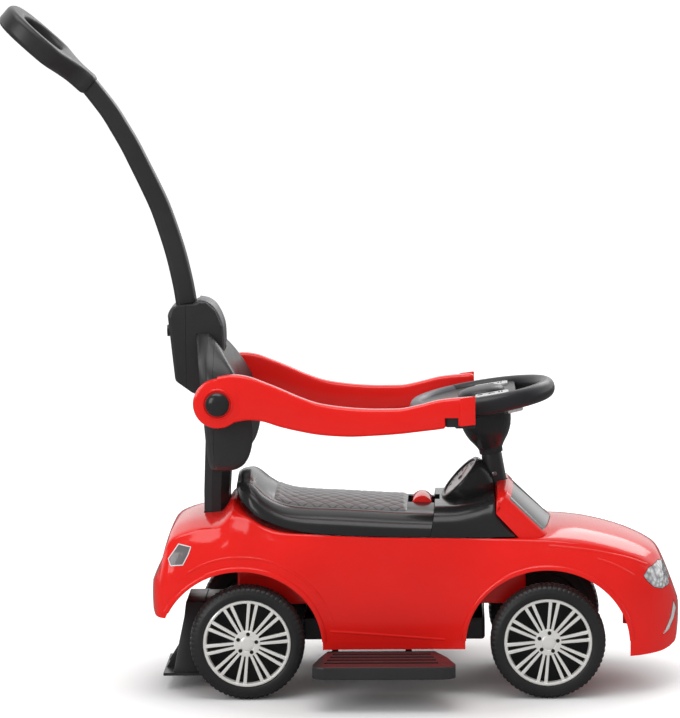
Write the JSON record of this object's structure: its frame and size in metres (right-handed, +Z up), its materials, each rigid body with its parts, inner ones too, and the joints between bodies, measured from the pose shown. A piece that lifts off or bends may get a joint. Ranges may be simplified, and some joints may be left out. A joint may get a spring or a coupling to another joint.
{
  "type": "ride-on car",
  "caption": "Foot-to-floor ride-on car with a curved push handle, swing-up guard arms, a high backrest, a lifting seat over a bin and slide-in footrests.",
  "frame": {"origin": "on the floor under the middle of the whole car, push handle and footrests included", "axes": "+X towards the nose, +Y to the driver's left, +Z up from the floor that the tyres stand on"},
  "size_m": [0.8587, 0.41, 0.8732],
  "materials": {
    "red_plastic": "glossy moulded plastic",
    "black_plastic": "satin black plastic",
    "tyre_plastic": "black plastic, blow moulded",
    "grey_plastic": "dark grey plastic",
    "bright_trim": "bright plated plastic",
    "steel": "plain steel",
    "tinted_plastic": "grey tinted plastic",
    "silver_plastic": "silver painted plastic",
    "clear_plastic": "clear lamp plastic"
  },
  "bodies": {
    "chassis": {"arm_pivot_left": "black_plastic", "arm_pivot_right": "black_plastic", "arm_yoke": "black_plastic", "backrest": "black_plastic", "backrest_cover": "black_plastic", "backrest_post": "black_plastic", "body_shell": "red_plastic", "bumper_vent_left": "bright_trim", "bumper_vent_right": "bright_trim", "chassis_pan": "black_plastic", "column_bell": "black_plastic", "column_sleeve": "black_plastic", "dash_cover": "black_plastic", "front_grille": "tyre_plastic", "gauge_dial": "silver_plastic", "gauge_pod": "black_plastic", "headlight_left": "clear_plastic", "headlight_right": "clear_plastic", "inner_tub": "red_plastic", "rear_axle": "steel", "rear_axle_bracket": "black_plastic", "rear_guard": "black_plastic", "retainer_rear_left": "steel", "retainer_rear_right": "steel", "rod_bush": "silver_plastic", "seat_hinge_bracket": "black_plastic", "seat_hinge_pin": "steel", "socket_front": "black_plastic", "socket_rear": "black_plastic", "tail_light_left": "silver_plastic", "tail_light_right": "silver_plastic", "windscreen": "tinted_plastic", "windscreen_frame": "red_plastic"},
    "steering": {"axle_carrier": "black_plastic", "front_axle": "steel", "retainer_front_left": "steel", "retainer_front_right": "steel", "steering_rod": "steel", "steering_wheel": "grey_plastic"},
    "wheel_rear_left": {"tyre_rear_left": "tyre_plastic", "rim_rear_left": "bright_trim"},
    "wheel_rear_right": {"tyre_rear_right": "tyre_plastic", "rim_rear_right": "bright_trim"},
    "wheel_front_left": {"tyre_front_left": "tyre_plastic", "rim_front_left": "bright_trim"},
    "wheel_front_right": {"tyre_front_right": "tyre_plastic", "rim_front_right": "bright_trim"},
    "button_left": {"wheel_button_left": "silver_plastic"},
    "button_right": {"wheel_button_right": "silver_plastic"},
    "seat": {"seat_lid": "black_plastic", "latch_spring": "steel"},
    "latch": {"seat_latch": "red_plastic"},
    "arm_left": {"guard_arm_left": "red_plastic"},
    "arm_right": {"guard_arm_right": "red_plastic"},
    "handle": {"push_pole": "black_plastic", "push_handle": "black_plastic"},
    "release": {"pole_release_button": "grey_plastic"},
    "step_left": {"footrest_left": "black_plastic"},
    "step_right": {"footrest_right": "black_plastic"}
  },
  "joints": [
    {"name": "wheel_rear_left_spin", "type": "hinge", "parent": "chassis", "child": "wheel_rear_left", "pos_m": [-0.1195, 0.11, 0.0725], "axis": [0, 1, 0], "continuous": true},
    {"name": "wheel_rear_right_spin", "type": "hinge", "parent": "chassis", "child": "wheel_rear_right", "pos_m": [-0.1195, -0.11, 0.0725], "axis": [0, 1, 0], "continuous": true},
    {"name": "wheel_front_left_spin", "type": "hinge", "parent": "steering", "child": "wheel_front_left", "pos_m": [0.2595, 0.11, 0.0725], "axis": [0, 1, 0], "continuous": true},
    {"name": "wheel_front_right_spin", "type": "hinge", "parent": "steering", "child": "wheel_front_right", "pos_m": [0.2595, -0.11, 0.0725], "axis": [0, 1, 0], "continuous": true},
    {"name": "steering_turn", "type": "hinge", "parent": "chassis", "child": "steering", "pos_m": [0.2259, 0, 0.0725], "axis": [-0.1564, 0, 0.9877], "range_deg": [-12, 12]},
    {"name": "button_left_press", "type": "slide", "parent": "steering", "child": "button_left", "axis": [0.1564, 0, -0.9877], "range_m": [0, 0.0025], "stiffness_N_per_m": 400, "springref_m": -0.0005},
    {"name": "button_right_press", "type": "slide", "parent": "steering", "child": "button_right", "axis": [0.1564, 0, -0.9877], "range_m": [0, 0.0025], "stiffness_N_per_m": 400, "springref_m": -0.0005},
    {"name": "seat_lift", "type": "hinge", "parent": "chassis", "child": "seat", "pos_m": [-0.1195, 0, 0.262], "axis": [0, -1, 0], "range_deg": [0, 20]},
    {"name": "latch_pull", "type": "slide", "parent": "seat", "child": "latch", "axis": [-1, 0, 0], "range_m": [0, 0.004], "stiffness_N_per_m": 500, "springref_m": -0.001, "deforming": ["latch_spring"]},
    {"name": "arm_left_lift", "type": "hinge", "parent": "chassis", "child": "arm_left", "pos_m": [-0.1525, 0.115, 0.3765], "axis": [0, -1, 0], "range_deg": [0, 100]},
    {"name": "arm_right_lift", "type": "hinge", "parent": "chassis", "child": "arm_right", "pos_m": [-0.1525, -0.115, 0.3765], "axis": [0, -1, 0], "range_deg": [0, 100]},
    {"name": "handle_pull_out", "type": "slide", "parent": "chassis", "child": "handle", "axis": [-0.1676, 0, 0.9859], "range_m": [0, 0.08]},
    {"name": "release_press", "type": "slide", "parent": "chassis", "child": "release", "axis": [1, 0, 0], "range_m": [0, 0.003], "stiffness_N_per_m": 400, "springref_m": -0.0005},
    {"name": "step_left_push_in", "type": "slide", "parent": "chassis", "child": "step_left", "axis": [0, -1, 0], "range_m": [0, 0.066]},
    {"name": "step_right_push_in", "type": "slide", "parent": "chassis", "child": "step_right", "axis": [0, 1, 0], "range_m": [0, 0.066]}
  ]
}
